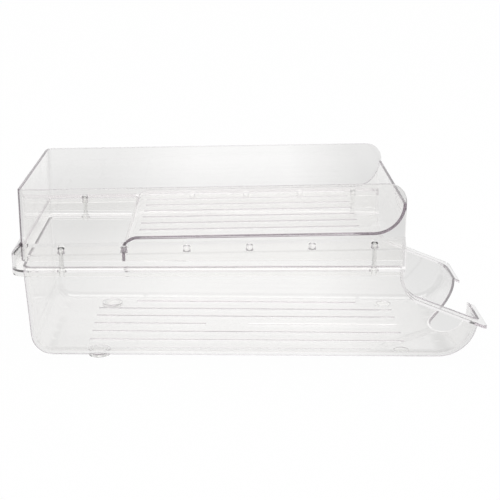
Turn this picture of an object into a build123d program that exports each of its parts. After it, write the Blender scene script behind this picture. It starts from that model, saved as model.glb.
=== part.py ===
"""Two-tier roll-down bin for drink cans, moulded in clear plastic.

Cans lie across the bin. They roll back along the upper tier, drop through the opening at its rear, and
roll forward along the lower bin to a scoop with a finger cut-out. X runs from the rear to the front,
Y across the bin and Z up. The origin is on the shelf, under the middle of the bin.
"""

from build123d import *
from math import atan, cos, degrees, radians, sin, tan
import os

# Whole bin
overall_length = 340.5
overall_width = 152.0
wall = 2.2
tier_inset = 6.8            # the walls stand this far inside the rim's outer edge
rim_corner_radius = 12.0    # at the rear
rim_front_radius = 5.0      # corners of the front lip
edge_round = 0.6            # softened edges of the mouldings
rest_gap = 0.05             # air left between faces that rest on each other

# Rim of the lower bin
rim_height = 73.6           # top of the level rim above the shelf
rim_thickness = 2.0
rim_lip_depth = 5.0         # turned-down edge of the level rim
rim_lip_thickness = 1.6
slanted_rim_length = 62.4   # from where the rim steps down to the front edge
rim_step_radius = 3.0
rim_sweep_radius = 19.0     # where the slanted rim leaves the step
slanted_rim_fall = 21.7     # degrees, towards the front
scoop_lip_height = 29.5
scoop_lip_overhang = 4.0

# Lower bin
lower_wall_draft = 2.8      # degrees
lower_floor_fall = 0.65     # degrees, towards the front
floor_clearance = 0.5       # under the floor, at the front feet
rear_bottom_radius = 16.0
scoop_radius = 28.3
side_bottom_radius = 8.0

# Finger cut-out in the scoop
cutout_width = 57.0
cutout_bottom_radius = 26.0
cutout_tilt = 37.5          # degrees below level that the cut faces
cutout_depth = 34.8         # along the tilted scoop, from its lip
cutout_edge_round = 0.7

# Feet
foot_setback = 58.0         # from the rear and front edges of the rim
foot_side_inset = 25.0      # from the rim's sides
foot_boss_radius = 8.25
foot_pad_radius = 6.0
foot_pad_thickness = 1.6
foot_pad_proud = 0.35       # how far a pad stands below its boss
foot_pad_clearance = 0.1
foot_pad_round = 0.3

# Ribs that the cans roll on
rib_pitch = 17.0
rib_width = 1.6
rib_height = 0.7
rib_round = 0.42
lower_rib_start = 49.0      # from the rear edge of the rim
lower_rib_setback = 53.5    # from the front edge of the rim
short_rib_start = 78.5
short_rib_setback = 81.0
bare_patch_start = 136.0    # smooth place in the middle rib
bare_patch_length = 33.0
upper_rib_start = 90.0
upper_rib_setback = 30.8    # from the tier's front

# Upper tier
tier_overhang = 0.7         # the tier's front ends this far past the step of the rim
tier_rise = 0.93            # degrees, the tier's floor and top climb towards the front
tier_wall_clearance = 4.5   # from the rim up to the foot of the tier's walls
tier_floor_rise = 19.9      # from the rim up to the floor's underside at the drop opening
tier_wall_height = 37.3     # from the underside of the floor to the top of the side walls
tier_scoop_radius = 22.6
tier_scoop_height = 23.0    # above the floor's underside at the front
drop_opening = 69.5         # length of the opening that the cans fall through
drop_edge_radius = 11.0
tier_top_corner_radius = 13.0

# Skirt of the upper tier
skirt_slope_rise = 7.2      # height of the sloped shoulder
skirt_top_drop = 1.5        # top of the shoulder below the floor's underside
shoulder_foot_radius = 3.0

# Studs on the shoulder and the snap pins in the outer four
stud_count = 6
stud_start = 36.2           # first stud, from the rear edge of the rim
stud_setback = 22.1         # last stud, from the tier's front
stud_inset = 3.9            # from the rim's outer edge
stud_radius = 2.6
stud_proud = 1.5            # above the middle of the shoulder
stud_round = 1.1
pin_head_height = 1.4
pin_head_radius = 2.5
pin_shaft_radius = 1.45
pin_bore_clearance = 0.15
pin_slot_length = 6.6
pin_slot_width = 3.4
pin_leg_spread = 2.3        # half the width over both legs at their tips
pin_leg_start = 1.5         # above the rim
pin_leg_reach = 2.7         # tips of the legs below the rim's underside
pin_leg_width = 2.6
pin_leg_gap = 0.4           # half the slit between the legs at its top
pin_leg_thickness = 1.1

# Places that follow from the sizes above
rear_edge = -overall_length / 2
front_edge = overall_length / 2
half_width = overall_width / 2
tier_rear = rear_edge + tier_inset
tier_half_width = half_width - tier_inset
rim_step = front_edge - slanted_rim_length
tier_front = rim_step + tier_overhang
scoop_front = front_edge - scoop_lip_overhang
front_foot = front_edge - foot_setback
rear_foot = rear_edge + foot_setback
foot_side = half_width - foot_side_inset
floor_slope = tan(radians(lower_floor_fall))
tier_slope = tan(radians(tier_rise))
draft_slope = tan(radians(lower_wall_draft))
tier_foot_height = rim_height + tier_wall_clearance
tier_floor_height = rim_height + tier_floor_rise
drop_edge = tier_rear + wall + drop_opening
stud_pitch = (tier_front - stud_setback - rear_edge - stud_start) / (stud_count - 1)
long_rib_length = overall_length - lower_rib_start - lower_rib_setback
short_rib_length = overall_length - short_rib_start - short_rib_setback
upper_rib_length = tier_front - upper_rib_setback - rear_edge - upper_rib_start
above_all = rim_height + overall_width
beyond = overall_length

# Selectors: directions this near to each other count as parallel, and points this near as touching
parallel_within = 8.0       # degrees
touching = 0.1

os.makedirs("parts", exist_ok=True)


def floor_underside(x):
    """Height of the lower floor's underside at x"""
    return floor_clearance + (front_foot - x) * floor_slope


def tier_underside(x):
    """Height of the upper tier's floor underside at x"""
    return tier_floor_height + (x - drop_edge) * tier_slope


def slanted_rim(x):
    """Height of the slanted rim's top at x, carried on as far as it is needed"""
    return scoop_lip_height + (front_edge - x) * tan(radians(slanted_rim_fall))


def sweep_radius():
    """Radius of the sweep, kept small enough for the height of the step"""
    straight = rim_height - slanted_rim(rim_step) - rim_step_radius - rim_thickness / 2
    return min(rim_sweep_radius, straight / tan(radians(45 - slanted_rim_fall / 2)))


def plan_outline(inset, height):
    """Solid over the plan outline of the rim drawn in by inset, up to a height above everything"""
    with BuildPart() as prism:
        with BuildSketch(Plane.XY.offset(height)):
            RectangleRounded(
                overall_length - 2 * inset, overall_width - 2 * inset, rim_corner_radius - inset
            )
        extrude(amount=above_all - height)
    return prism.part


def lower_block(inset):
    """Outside of the lower bin as a solid block, drawn in by inset, with no rim and a tall top"""
    block_top = rim_height + tier_wall_height
    top_rear = tier_rear - (block_top - rim_height) * draft_slope
    level_zero = floor_underside(0)
    rear_corner = (tier_rear + (rim_height - level_zero) * draft_slope) / (1 - floor_slope * draft_slope)
    with BuildPart() as block:
        with BuildSketch(Plane.XZ):
            with BuildLine():
                profile = FilletPolyline(
                    (top_rear, block_top),
                    (rear_corner, floor_underside(rear_corner)),
                    (scoop_front, floor_underside(scoop_front)),
                    (scoop_front, block_top),
                    radius=[rear_bottom_radius, scoop_radius],
                )
                Line(profile @ 1, profile @ 0)
            make_face()
            offset(amount=-inset, kind=Kind.INTERSECTION)
        extrude(amount=half_width, both=True)
        low, high = -wall, block_top + wall
        low_half = tier_half_width - (rim_height - low) * draft_slope - inset
        high_half = tier_half_width + (high - rim_height) * draft_slope - inset
        with BuildSketch(Plane.YZ):
            with BuildLine():
                Polyline((-low_half, low), (low_half, low), (high_half, high), (-high_half, high), close=True)
            make_face()
        extrude(amount=beyond, both=True, mode=Mode.INTERSECT)
        side_wall = block.faces().sort_by(Axis.Y)[0]
        fillet(side_wall.edges().sort_by(Axis.Z)[0], radius=side_bottom_radius - inset)
        split(bisect_by=Plane.XZ)
        mirror(about=Plane.XZ)
    return block.part


def space_above_rim(grow):
    """Everything above the rim's top line, grown downwards by grow"""
    with BuildPart() as space:
        with BuildSketch(Plane.XZ):
            with BuildLine():
                start = (rear_edge - beyond, rim_height)
                end = (front_edge + wall, slanted_rim(front_edge + wall))
                rim_line = FilletPolyline(
                    start,
                    (rim_step, rim_height),
                    (rim_step, slanted_rim(rim_step)),
                    end,
                    radius=[rim_step_radius, sweep_radius()],
                )
                Polyline(rim_line @ 1, (end[0], above_all), (start[0], above_all), rim_line @ 0)
            make_face()
            if grow:
                offset(amount=grow)
        extrude(amount=overall_width, both=True)
    return space.part


def stud_places(which):
    """Places of the numbered studs along both sides"""
    along = [rear_edge + stud_start + number * stud_pitch for number in which]
    return [(x, side * (half_width - stud_inset)) for x in along for side in (-1, 1)]


pin_places = stud_places([0, stud_count - 1])
plain_stud_places = stud_places(range(1, stud_count - 1))
foot_places = {
    "rear_right": (rear_foot, -foot_side),
    "rear_left": (rear_foot, foot_side),
    "front_right": (front_foot, -foot_side),
    "front_left": (front_foot, foot_side),
}
pin_names = ["rear_right", "rear_left", "front_right", "front_left"]


def ribs(plane, spans):
    """Round-ended ribs on a sloping floor: spans lists start, length and place across the bin"""
    with BuildPart() as beads:
        with BuildSketch(plane):
            for start, length, across in spans:
                with Locations((rear_edge + start + length / 2, across)):
                    SlotOverall(length, rib_width)
        extrude(amount=rib_height + wall / 2)
        top = beads.faces().sort_by(Axis.Z)[-len(spans):]
        fillet(top.edges(), radius=rib_round)
    return beads.part


# Lower bin: floor, walls, scoop, rim, feet bosses
lower_cavity = lower_block(wall)
above_rim = space_above_rim(0)

with BuildPart() as rim_outline:
    with BuildSketch() as plan:
        Rectangle(overall_length, overall_width)
        fillet(plan.vertices().sort_by(Axis.X)[:2], radius=rim_corner_radius)
        fillet(plan.vertices().sort_by(Axis.X)[-2:], radius=rim_front_radius)
    extrude(amount=above_all)

with BuildPart() as rim:
    add(space_above_rim(rim_thickness))
    add(above_rim, mode=Mode.SUBTRACT)
    add(rim_outline.part, mode=Mode.INTERSECT)
    level_top = rim.faces().filter_by(Axis.Z).sort_by(Axis.Z)[-1]
    fillet(level_top.edges().sort_by(Axis.X)[0], radius=edge_round)

with BuildPart() as rim_lip:
    add(plan_outline(0, rim_height - rim_lip_depth))
    add(plan_outline(rim_lip_thickness, rim_height - rim_lip_depth), mode=Mode.SUBTRACT)
    with BuildSketch(Plane.XZ):
        with Locations((rear_edge - wall, 0)):
            Rectangle(rim_step - rear_edge + wall, rim_height, align=(Align.MIN, Align.MIN))
    extrude(amount=overall_width, both=True, mode=Mode.INTERSECT)

floor_top_plane = Plane(
    origin=(0, 0, floor_underside(0) + wall / 2 / cos(radians(lower_floor_fall))),
    x_dir=(cos(radians(lower_floor_fall)), 0, -sin(radians(lower_floor_fall))),
    z_dir=(sin(radians(lower_floor_fall)), 0, cos(radians(lower_floor_fall))),
)
long_ribs = [(lower_rib_start, long_rib_length, side * rib_pitch) for side in (-2, -1, 1, 2)]
short_ribs = [(short_rib_start, short_rib_length, side * 3 * rib_pitch) for side in (-1, 1)]
bare_patch_end = bare_patch_start + bare_patch_length
middle_ribs = [
    (lower_rib_start, bare_patch_start - lower_rib_start, 0),
    (bare_patch_end, lower_rib_start + long_rib_length - bare_patch_end, 0),
]

scoop_middle = Vector(
    scoop_front - scoop_radius * (1 - cos(radians(cutout_tilt))),
    0,
    floor_underside(scoop_front) + scoop_radius * (1 - sin(radians(cutout_tilt))),
)
cutout_normal = Vector(cos(radians(cutout_tilt)), 0, -sin(radians(cutout_tilt)))
lip_along_cut = scoop_radius * sin(radians(cutout_tilt))
cutout_plane = Plane(origin=scoop_middle, x_dir=(0, 1, 0), z_dir=cutout_normal)

with BuildPart() as lower_bin:
    add(lower_block(0))
    add(above_rim, mode=Mode.SUBTRACT)
    add(rim)
    add(rim_lip)
    foot_bottom = foot_pad_proud
    for x, y in foot_places.values():
        with BuildSketch(Plane.XY.offset(foot_bottom)):
            with Locations((x, y)):
                Circle(foot_boss_radius)
        extrude(amount=floor_underside(x) + wall / 2 - foot_bottom)
    add(lower_cavity, mode=Mode.SUBTRACT)
    add(ribs(floor_top_plane, long_ribs + short_ribs + middle_ribs))
    with BuildSketch(cutout_plane):
        with Locations((0, lip_along_cut - cutout_depth)):
            RectangleRounded(
                cutout_width, rim_height, cutout_bottom_radius, align=(Align.CENTER, Align.MIN)
            )
    extrude(amount=scoop_radius / 2, both=True, mode=Mode.SUBTRACT)
    cut_edges = lower_bin.edges(Select.LAST).filter_by(
        lambda edge: abs(edge.center().Y) < cutout_width / 2 + touching
        and abs(edge.tangent_at(0.5).dot(cutout_normal)) < cos(radians(parallel_within))
    )
    fillet(cut_edges, radius=cutout_edge_round)
    with BuildSketch(Plane.XY.offset(foot_bottom)):
        with Locations(*foot_places.values()):
            Circle(foot_pad_radius + foot_pad_clearance)
    extrude(amount=foot_pad_thickness + rest_gap - foot_bottom, mode=Mode.SUBTRACT)
    with BuildSketch(Plane.XY.offset(rim_height - rim_lip_depth)):
        with Locations(*pin_places):
            SlotOverall(pin_slot_length, pin_slot_width)
    extrude(amount=rim_lip_depth, mode=Mode.SUBTRACT)
lower_bin.part.label = "lower_bin"
export_step(lower_bin.part, "parts/lower_bin.step")


# Upper bin: walls, floor with its scoop, skirt, studs
tier_walls_outside = plan_outline(tier_inset, tier_foot_height)
tier_walls_inside = plan_outline(tier_inset + wall, 0)
tier_tip_height = tier_underside(tier_front) + tier_scoop_height

with BuildPart() as tier_walls:
    add(tier_walls_outside)
    add(tier_walls_inside, mode=Mode.SUBTRACT)
    with BuildSketch(Plane.XZ):
        with BuildLine():
            tier_side = FilletPolyline(
                (rear_edge, tier_underside(rear_edge) + tier_wall_height),
                (tier_front, tier_underside(tier_front) + tier_wall_height),
                (tier_front, tier_foot_height),
                radius=tier_top_corner_radius,
            )
            Polyline(tier_side @ 1, (rear_edge, tier_foot_height), tier_side @ 0)
        make_face()
    extrude(amount=overall_width, both=True, mode=Mode.INTERSECT)
    facing_up = tier_walls.faces().filter_by(
        lambda face: face.normal_at().Z > cos(radians(parallel_within))
    )
    wall_top = facing_up.sort_by(Axis.Z)[-1]
    fillet(wall_top.edges().filter_by(lambda edge: edge.length > wall + touching), radius=edge_round)

with BuildPart() as tier_floor:
    with BuildSketch(Plane.XZ):
        with BuildLine():
            rear_of_floor = drop_edge + wall / 2
            front_of_floor = tier_front - wall / 2
            FilletPolyline(
                (rear_of_floor, tier_foot_height),
                (rear_of_floor, tier_underside(rear_of_floor) + wall / 2),
                (front_of_floor, tier_underside(front_of_floor) + wall / 2),
                (front_of_floor, tier_tip_height),
                radius=[drop_edge_radius - wall / 2, tier_scoop_radius - wall / 2],
            )
        trace(line_width=wall)
    extrude(amount=tier_half_width - wall / 2, both=True)
    across = tier_floor.edges().filter_by(Axis.Y)
    fillet(across.sort_by(Axis.Z)[:2] + across.sort_by(Axis.Z)[-2:], radius=edge_round)


def tier_plane(height):
    """Plane that climbs with the tier's floor, at a height over the origin"""
    return Plane(
        origin=(0, 0, height),
        x_dir=(cos(radians(tier_rise)), 0, sin(radians(tier_rise))),
        z_dir=(-sin(radians(tier_rise)), 0, cos(radians(tier_rise))),
    )


def skirt_block(inset, end):
    """Solid under the shoulder and the outside of the skirt, drawn in by inset, up to X = end"""
    shoulder_angle = degrees(atan(tier_inset / skirt_slope_rise))
    rise_into_wall = skirt_slope_rise * (tier_inset + wall / 2) / tier_inset
    shoulder_foot = tier_underside(0) - skirt_top_drop - skirt_slope_rise
    plane = tier_plane(shoulder_foot - inset * tan(radians(shoulder_angle / 2)))
    with BuildPart() as block:
        with BuildSketch(plane):
            RectangleRounded(
                overall_length - 2 * inset, overall_width - 2 * inset, rim_corner_radius - inset
            )
        extrude(amount=-rim_height)
        extrude(block.faces().sort_by(Axis.Z)[-1], amount=rise_into_wall, taper=shoulder_angle)
        foot = block.edges().filter_by(
            lambda edge: abs((edge.center() - plane.origin).dot(plane.z_dir)) < touching
        )
        fillet(foot, radius=shoulder_foot_radius - inset)
        with BuildSketch(Plane.XZ):
            with Locations((rear_edge + inset, rim_height + rest_gap)):
                Rectangle(end - rear_edge - inset, above_all, align=(Align.MIN, Align.MIN))
        extrude(amount=half_width - inset, both=True, mode=Mode.INTERSECT)
    return block.part


def shoulder_middle(x):
    """Height of the middle of the sloped shoulder at x"""
    return tier_underside(x) - skirt_top_drop - skirt_slope_rise / 2


with BuildPart() as studs:
    for x, y in plain_stud_places + pin_places:
        stud_top = shoulder_middle(x) + stud_proud
        with BuildSketch(Plane.XY.offset(stud_top)):
            with Locations((x, y)):
                Circle(stud_radius)
        extrude(amount=-stud_proud - skirt_slope_rise / 2)
        fillet(studs.edges(Select.LAST).sort_by(Axis.Z)[-1], radius=stud_round)

skirt_hollow = skirt_block(wall, tier_front - wall)
tier_floor_plane = tier_plane(tier_underside(0) + wall / 2 / cos(radians(tier_rise)))
upper_ribs = [(upper_rib_start, upper_rib_length, number * rib_pitch) for number in range(-3, 4)]

with BuildPart() as upper_bin:
    add(skirt_block(0, tier_front))
    add(skirt_hollow, mode=Mode.SUBTRACT)
    add(tier_walls_inside, mode=Mode.SUBTRACT)
    add(tier_walls)
    add(tier_floor)
    add(ribs(tier_floor_plane, upper_ribs))
    add(studs)
    for x, y in pin_places:
        seat = shoulder_middle(x) + stud_proud - pin_head_height - rest_gap
        with BuildSketch(Plane.XY.offset(seat)):
            with Locations((x, y)):
                Circle(stud_radius)
        extrude(amount=skirt_slope_rise, mode=Mode.SUBTRACT)
        with BuildSketch(Plane.XY.offset(seat)):
            with Locations((x, y)):
                Circle(pin_shaft_radius + pin_bore_clearance)
        extrude(amount=-skirt_slope_rise, mode=Mode.SUBTRACT)
upper_bin.part.label = "upper_bin"
export_step(upper_bin.part, "parts/upper_bin.step")


# Snap pins: domed head, shaft and two springy legs
rim_underside = rim_height - rim_thickness
leg_top = rim_height + pin_leg_start
leg_tip = rim_underside - pin_leg_reach
for name, (x, y) in zip(pin_names, pin_places):
    seat = shoulder_middle(x) + stud_proud - pin_head_height
    with BuildPart() as snap_pin:
        with BuildSketch(Plane.XY.offset(seat)):
            with Locations((x, y)):
                Circle(pin_head_radius)
        extrude(amount=pin_head_height)
        fillet(snap_pin.edges().sort_by(Axis.Z)[-1], radius=stud_round)
        with BuildSketch(Plane.XY.offset(seat)):
            with Locations((x, y)):
                Circle(pin_shaft_radius)
        extrude(amount=leg_top - seat)
        with BuildSketch(Plane.XZ.offset(-y)):
            for side in (-1, 1):
                with BuildLine():
                    Polyline(
                        (x + side * pin_leg_gap, leg_top + pin_leg_thickness),
                        (x + side * pin_shaft_radius, leg_top + pin_leg_thickness),
                        (x + side * pin_shaft_radius, leg_top),
                        (x + side * pin_leg_spread, rim_underside),
                        (x + side * (pin_leg_spread - pin_leg_thickness / 2), leg_tip),
                        (x + side * (pin_leg_spread - pin_leg_thickness), leg_tip),
                        (x + side * pin_leg_gap, leg_top),
                        close=True,
                    )
                make_face()
        extrude(amount=pin_leg_width / 2, both=True)
    snap_pin.part.label = f"snap_pin_{name}"
    export_step(snap_pin.part, f"parts/snap_pin_{name}.step")


# Foot pads in the pockets of the bosses
for name, (x, y) in foot_places.items():
    with BuildPart() as foot_pad:
        with BuildSketch(Plane.XY):
            with Locations((x, y)):
                Circle(foot_pad_radius)
        extrude(amount=foot_pad_thickness)
        fillet(foot_pad.edges().sort_by(Axis.Z)[0], radius=foot_pad_round)
    foot_pad.part.label = f"foot_pad_{name}"
    export_step(foot_pad.part, f"parts/foot_pad_{name}.step")
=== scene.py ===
"""A roll-down bin for drink cans in clear plastic, on a white table, seen from its long side."""

import math

import bpy
import numpy as np
from mathutils import Matrix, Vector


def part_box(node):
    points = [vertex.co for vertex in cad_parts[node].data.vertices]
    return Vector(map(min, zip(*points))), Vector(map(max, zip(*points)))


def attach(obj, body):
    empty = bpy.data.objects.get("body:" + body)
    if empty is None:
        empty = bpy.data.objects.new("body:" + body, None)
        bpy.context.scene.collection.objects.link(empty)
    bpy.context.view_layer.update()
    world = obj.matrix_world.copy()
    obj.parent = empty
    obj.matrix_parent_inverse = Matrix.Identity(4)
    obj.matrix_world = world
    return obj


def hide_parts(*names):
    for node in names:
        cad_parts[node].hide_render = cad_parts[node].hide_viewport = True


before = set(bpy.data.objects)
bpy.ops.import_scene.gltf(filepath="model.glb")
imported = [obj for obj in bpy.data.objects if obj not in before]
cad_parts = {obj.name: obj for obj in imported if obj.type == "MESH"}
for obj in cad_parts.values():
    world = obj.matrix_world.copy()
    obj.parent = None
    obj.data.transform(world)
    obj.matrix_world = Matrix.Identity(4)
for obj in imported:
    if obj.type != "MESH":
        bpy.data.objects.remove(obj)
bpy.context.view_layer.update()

# --- Camera ---------------------------------------------------------------------------------------
# A long lens looks across the bin from a little above its top, almost square to its long side.
# Clear walls bend a ray many times before it leaves them, so the light paths are long.
camera_place = (-0.018242, -0.831895, 0.32272)
camera_turn = math.radians(-1.269)
camera_fall = math.radians(17.237)
camera_roll = math.radians(0.25)
longest_path = 72

lens = bpy.data.cameras.new("camera")
lens.sensor_width = 36
lens.lens = 81.36
camera = bpy.data.objects.new("camera", lens)
bpy.context.scene.collection.objects.link(camera)
camera.matrix_world = (
    Matrix.Translation(camera_place)
    @ Matrix.Rotation(camera_turn, 4, "Z")
    @ Matrix.Rotation(math.radians(90) - camera_fall, 4, "X")
    @ Matrix.Rotation(camera_roll, 4, "Z")
)
bpy.context.scene.camera = camera
bpy.context.scene.view_settings.view_transform = "Standard"
cycles = bpy.context.scene.cycles
cycles.max_bounces = longest_path
cycles.transmission_bounces = longest_path
cycles.glossy_bounces = longest_path
cycles.sample_clamp_indirect = 4


# --- Table and light ------------------------------------------------------------------------------
# A white table with no edge in view. Rays through or off the plastic see it with painted shade,
# a little greyer beside and behind the bin, standing in for the room's shade; the camera sees it
# white. A softbox hangs above, and dark flags stand round the white room.
class Shade:
    """A socket in a node tree: an expression on sockets adds its Math nodes, node() any other"""

    def __init__(self, tree, socket=None):
        self.tree = tree
        self.socket = socket

    def node(self, kind, settings=None, sockets=None, output=0):
        """One node: its settings are set first, then each socket gets its value or its link.
        The setting "stops" lists a ramp's places, each with its grey."""
        made = self.tree.nodes.new("ShaderNode" + kind)
        for name, value in (settings or {}).items():
            if name == "stops":
                ramp = made.color_ramp.elements
                ramp[0].position, ramp[1].position = value[0][0], value[-1][0]
                for place, _ in value[1:-1]:
                    ramp.new(place)
                for stop, (_, grey) in zip(ramp, value):
                    stop.color = (grey, grey, grey, 1)
            else:
                setattr(made, name, value)
        for name, value in (sockets or {}).items():
            if isinstance(value, Shade):
                self.tree.links.new(value.socket, made.inputs[name])
            else:
                made.inputs[name].default_value = value
        return Shade(self.tree, made.outputs[output] if made.outputs else None)

    def maths(self, operation, *values):
        """One Math node on one, two or three values"""
        return self.node("Math", {"operation": operation}, dict(enumerate(values)))

    def blend(self, share, one, other, way="MIX"):
        """A colour: one where share is 0, the other where it is 1"""
        settings = {"data_type": "RGBA", "blend_type": way}
        return self.node("Mix", settings, {0: share, 6: one, 7: other}, output=2)

    def axis(self, letter):
        """One coordinate of a place"""
        return self.node("SeparateXYZ", sockets={0: self}, output=letter)

    def __add__(self, other):
        return self.maths("ADD", self, other)

    def __sub__(self, other):
        return self.maths("SUBTRACT", self, other)

    def __rsub__(self, other):
        return self.maths("SUBTRACT", other, self)

    def __mul__(self, other):
        return self.maths("MULTIPLY", self, other)

    __radd__ = __add__
    __rmul__ = __mul__

    def __abs__(self):
        return self.maths("ABSOLUTE", self)


def new_tree(made):
    """Empties the node tree of a material or a world, and starts it"""
    made.use_nodes = True
    made.node_tree.nodes.clear()
    return Shade(made.node_tree)


table_half = 12.0
table_mesh = bpy.data.meshes.new("table")
corners = [(-table_half, -table_half, 0), (table_half, -table_half, 0)]
corners += [(table_half, table_half, 0), (-table_half, table_half, 0)]
table_mesh.from_pydata(corners, [], [(0, 1, 2, 3)])
table = bpy.data.objects.new("table", table_mesh)
bpy.context.scene.collection.objects.link(table)

pure_white = (1, 1, 1, 1)
paper = bpy.data.materials.new("white_paper")
table_mesh.materials.append(paper)
tree = new_tree(paper)
camera_ray, glossy_ray, through_ray = (
    tree.node("LightPath", output=f"Is {kind} Ray") for kind in ("Camera", "Glossy", "Transmission")
)
seen = tree.maths("MAXIMUM", tree.maths("MAXIMUM", camera_ray, glossy_ray), through_ray)
place = tree.node("TexCoord", output="Object")
along = place.axis("X")
behind = abs(place.axis("Y"))
# Painted shade: two ramps, along x and away from the bin in y, grey the table for rays that come
# through or off the plastic, fading to 0.97 grey far away.
stops_along = [
    (0.0, 0.75), (0.08, 0.75), (0.2, 0.87), (0.34, 0.87), (0.44, 0.99),
    (0.56, 0.99), (0.65, 0.81), (0.8, 0.77), (0.92, 0.75), (1.0, 0.75),
]
stops_behind = [
    (0.0, 1.0), (0.2, 0.99), (0.29, 0.91), (0.38, 0.91), (0.46, 0.93), (0.6, 1.0), (1.0, 1.0),
]
painted_shade_lengthwise = tree.node("ValToRGB", {"stops": stops_along}, {0: along + 0.5})
painted_shade_crosswise = tree.node("ValToRGB", {"stops": stops_behind}, {0: behind})
painted_table_shade = tree.blend(1.0, painted_shade_lengthwise, painted_shade_crosswise, "MULTIPLY")
far = tree.node("MapRange", {"interpolation_type": "SMOOTHSTEP"}, {0: behind, 1: 0.5, 2: 1.2})
painted_table_shade = tree.blend(far, painted_table_shade, (0.97, 0.97, 0.97, 1))
white_or_painted_shade = tree.blend(camera_ray, painted_table_shade, pure_white)
paint = tree.node("BsdfDiffuse", sockets={"Color": (0.9, 0.9, 0.9, 1)})
white = tree.node("Emission", sockets={"Color": white_or_painted_shade, "Strength": 1.0})
shadow_kept = 0.015
mixed = tree.node("MixShader", sockets={0: seen * (1 - shadow_kept), 1: paint, 2: white})
tree.node("OutputMaterial", sockets={"Surface": mixed})

studio = bpy.data.worlds.new("studio")
bpy.context.scene.world = studio
tree = new_tree(studio)
towards = tree.node("TexCoord", output="Generated")
stops_up = [(0.0, 1.0), (0.36, 1.0), (0.46, 0.12), (0.86, 0.12), (0.94, 1.0), (1.0, 1.0)]
stops_aside = [(0.0, 1.0), (0.4, 1.0), (0.55, 0.15), (1.0, 0.1)]
bands = tree.node("ValToRGB", {"stops": stops_up}, {0: towards.axis("Z")})
flags = tree.node("ValToRGB", {"stops": stops_aside}, {0: abs(towards.axis("X"))})
room = tree.blend(1.0, bands, flags, "MULTIPLY")
room = tree.blend(tree.node("LightPath", output="Is Diffuse Ray"), room, (0.8, 0.8, 0.8, 1))
room = tree.blend(tree.node("LightPath", output="Is Camera Ray"), room, pure_white)
tree.node("OutputWorld", sockets={"Surface": tree.node("Background", sockets={"Color": room})})

softbox = bpy.data.lights.new("softbox", "AREA")
softbox.shape = "RECTANGLE"
softbox.size = 1.2
softbox.size_y = 0.8
softbox.energy = 4
lamp = bpy.data.objects.new("softbox", softbox)
lamp.location = (0, 0.1, 1.3)
bpy.context.scene.collection.objects.link(lamp)


# --- Bins -----------------------------------------------------------------------------------------
# The two bins are injection moulded in clear polystyrene. Light loses a little on the way through,
# so a plate seen on its edge turns a smoky grey while its faces stay clear. Four pins join them.
def clear_plastic(name, lasting, ripple, satin_and_painted_glow_mask=None, painted_glow=0.04):
    """Clear plastic. lasting: what is left of white light after 0.1 m. ripple: depth in metres of
    the mould's flow waves. The fourth argument, a mask, marks where it is less polished and where
    its painted glow turns near white. The last argument is the grey of the painted glow, an
    emission that stands in for the light the plastic scatters."""
    made = bpy.data.materials.new(name)
    tree = new_tree(made)
    place = tree.node("TexCoord", output="Object")
    drawn_out = tree.node("Mapping", sockets={"Vector": place, "Scale": (7, 45, 55)})
    waves = {"Vector": drawn_out, "Scale": 1.0, "Detail": 2.0, "Roughness": 0.4}
    flow = tree.node("TexNoise", sockets=waves)
    bump = tree.node("Bump", sockets={"Strength": 1.0, "Distance": ripple, "Height": flow})
    handling = tree.node("TexNoise", sockets={"Vector": place, "Scale": 70.0, "Detail": 4.0})
    # Painted glow: a faint grey emission stands in for the light that the plastic scatters.
    painted_glow_colour = (painted_glow, painted_glow, painted_glow * 0.99, 1)
    roughness = handling * 0.02
    # Painted highlight lines: on the masked edges the glow turns near white; the added roughness
    # there is real.
    if satin_and_painted_glow_mask:
        satin_and_painted_glow = satin_and_painted_glow_mask(tree, place)
        painted_glow_colour = tree.blend(satin_and_painted_glow, painted_glow_colour, (1, 1, 0.99, 1))
        roughness = roughness + satin_and_painted_glow * 0.15
    surface = tree.node(
        "BsdfPrincipled",
        sockets={
            "Base Color": tree.blend(handling, (0.974, 0.974, 0.966, 1), (0.966, 0.966, 0.958, 1)),
            "Roughness": roughness,
            "IOR": 1.53,
            "Transmission Weight": 1.0,
            "Emission Color": painted_glow_colour,
            "Emission Strength": 0.3,
            "Normal": bump,
        },
    )
    losses = [-math.log(part) / 0.1 for part in lasting]
    density = max(losses)
    colour = [1 - loss / density for loss in losses]
    inside = tree.node("VolumeAbsorption", sockets={"Color": (*colour, 1), "Density": density})
    tree.node("OutputMaterial", sockets={"Surface": surface, "Volume": inside})
    return made


# Cans roll to the rear on the upper floor and to the front on the lower one: a floor's height over
# the table is its height at the bin's middle plus its slope times x.
lower_floor_middle, lower_floor_slope = 0.00397, -0.01134
upper_floor_middle, upper_floor_slope = 0.09719, 0.01623
rib_half_pitch, rib_half_width, rib_side = 0.0085, 0.00075, 0.0002
rib_middle, rib_half_height = 0.0005, 0.0004
# The finger cut-out leans with the scoop: two straight sides, two quarter circles, a short flat.
cut_radius, cut_half_flat, cut_centre, cut_band = 0.026, 0.0025, 0.00843, 0.0011
cut_foot_x, cut_foot_z, cut_lean, scoop_start = 0.1604, 0.01096, math.radians(37.5), 0.13
rim_top, seam_band = 0.0736, 0.0003
# Six studs stand on each side's shoulder, in a line that rises with the upper floor.
first_stud, stud_half_pitch, stud_radius = -0.13405, 0.02205, 0.0029
stud_height, stud_half_height = 0.0900, 0.0017
shoulder_middle, shoulder_half_width = 0.0721, 0.0028


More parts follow.
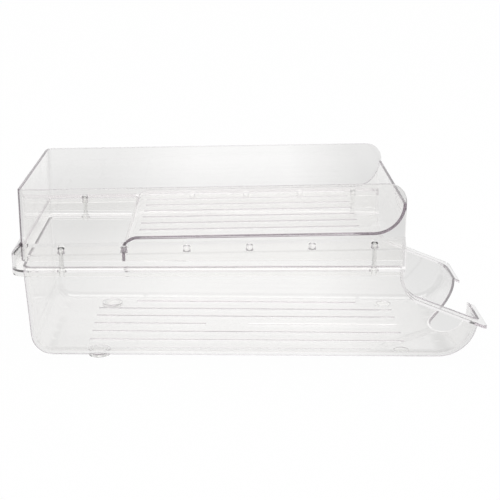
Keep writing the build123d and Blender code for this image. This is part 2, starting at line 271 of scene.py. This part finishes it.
def satin_and_painted_glow_edges(tree, place):
    """1 on the sides of both floors' ribs, and less round the finger cut-out, on the seam between
    the bins and round the studs, where the mould is not polished. There it roughens the plastic
    and also lifts its painted glow near white, as painted highlight lines"""
    x, y, z = (place.axis(letter) for letter in "XYZ")
    aside = abs(y)

    over_lower = z - x * lower_floor_slope - lower_floor_middle
    over_upper = z - x * upper_floor_slope - upper_floor_middle
    rib = tree.maths("COMPARE", over_lower, rib_middle, rib_half_height)
    rib = rib + tree.maths("COMPARE", over_upper, rib_middle, rib_half_height)
    to_rib = tree.maths("PINGPONG", y, rib_half_pitch)
    rib = rib * tree.maths("COMPARE", to_rib, rib_half_width, rib_side)

    across = tree.maths("MAXIMUM", aside - cut_half_flat, 0.0)
    up = (x - cut_foot_x) * math.sin(cut_lean) + (z - cut_foot_z) * math.cos(cut_lean)
    down = tree.maths("MINIMUM", up - cut_centre, 0.0)
    to_cut = abs(tree.maths("SQRT", across * across + down * down) - cut_radius)
    cut = tree.maths("LESS_THAN", to_cut, cut_band) * tree.maths("GREATER_THAN", x, scoop_start)

    seam = tree.maths("COMPARE", z, rim_top, seam_band)

    to_stud = tree.maths("PINGPONG", x - first_stud, stud_half_pitch)
    over_floor = z - x * upper_floor_slope
    stud = tree.maths("LESS_THAN", to_stud, stud_radius)
    stud = stud * tree.maths("COMPARE", over_floor, stud_height, stud_half_height)
    stud = stud * tree.maths("COMPARE", aside, shoulder_middle, shoulder_half_width)
    return tree.maths("MINIMUM", rib + cut * 0.6 + seam * 0.3 + stud * 0.15, 1.0)


bin_plastic = clear_plastic("clear_bin_plastic", (0.34, 0.295, 0.33), 0.00008, satin_and_painted_glow_edges)
for name in ("lower_bin", "upper_bin"):
    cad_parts[name].material_slots[0].material = bin_plastic

# --- Snap pins ------------------------------------------------------------------------------------
# Four small pins go down through the upper bin's skirt and snap into the lower bin's rim: a domed
# head, a round shaft and two sprung legs, moulded in a nylon that looks greyer than the bins.
pin_plastic = clear_plastic("clear_pin_plastic", (0.0005, 0.0005, 0.0005), 0.00001)
for name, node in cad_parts.items():
    if name.startswith("snap_pin"):
        node.material_slots[0].material = pin_plastic

# --- Foot pads ------------------------------------------------------------------------------------
# A disc of clear soft polyurethane is stuck into the pocket of each of the four feet, so that the
# bin does not slide. It is cast, so its edge is round.
# The pads get a stronger painted glow than the bins, standing in for light the soft plastic
# scatters.
pad_plastic = clear_plastic("clear_soft_plastic", (0.5, 0.5, 0.5), 0.00001, painted_glow=0.14)
side_air, depth_air = 0.0001, 0.00005


def soft_disc(radius, thickness, around=64, along=33):
    """Profile turned round the axis: out = radius cos(s)^0.3 and up = thickness/2 (1 + sin(s)^0.3
    with the sign of s), for s from -90 to 90 degrees; a fan of triangles closes each pole"""
    turn = np.linspace(0, 2 * np.pi, around, endpoint=False)
    swing = np.linspace(-np.pi / 2, np.pi / 2, along)[1:-1]
    out = radius * np.cos(swing) ** 0.3
    up = thickness / 2 * (1 + np.sign(swing) * np.abs(np.sin(swing)) ** 0.3)
    rings = np.stack(
        [np.outer(out, np.cos(turn)), np.outer(out, np.sin(turn)), np.outer(up, np.ones(around))], 2
    )
    points = np.concatenate([rings.reshape(-1, 3), [[0, 0, 0], [0, 0, thickness]]])
    step = np.arange(around)
    after = (step + 1) % around
    row = np.arange(len(swing) - 1)[:, None] * around
    quads = np.stack([row + step, row + after, row + around + after, row + around + step], 2)
    last = (len(swing) - 1) * around
    low_pole, high_pole = np.full(around, last + around), np.full(around, last + around + 1)
    low_fan = np.stack([low_pole, after, step], 1)
    high_fan = np.stack([high_pole, last + step, last + after], 1)
    return points, quads.reshape(-1, 4).tolist() + low_fan.tolist() + high_fan.tolist()


for name in [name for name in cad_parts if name.startswith("foot_pad")]:
    low, high = (np.array(corner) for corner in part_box(name))
    points, faces = soft_disc((high[0] - low[0]) / 2 - side_air, high[2] - low[2] - depth_air)
    points = points + [(low[0] + high[0]) / 2, (low[1] + high[1]) / 2, low[2]]
    mesh = bpy.data.meshes.new(f"soft_{name}")
    mesh.from_pydata(points.tolist(), [], faces)
    mesh.polygons.foreach_set("use_smooth", [True] * len(mesh.polygons))
    mesh.materials.append(pad_plastic)
    pad = bpy.data.objects.new(f"soft_{name}", mesh)
    bpy.context.scene.collection.objects.link(pad)
    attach(pad, "root")
    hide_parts(name)
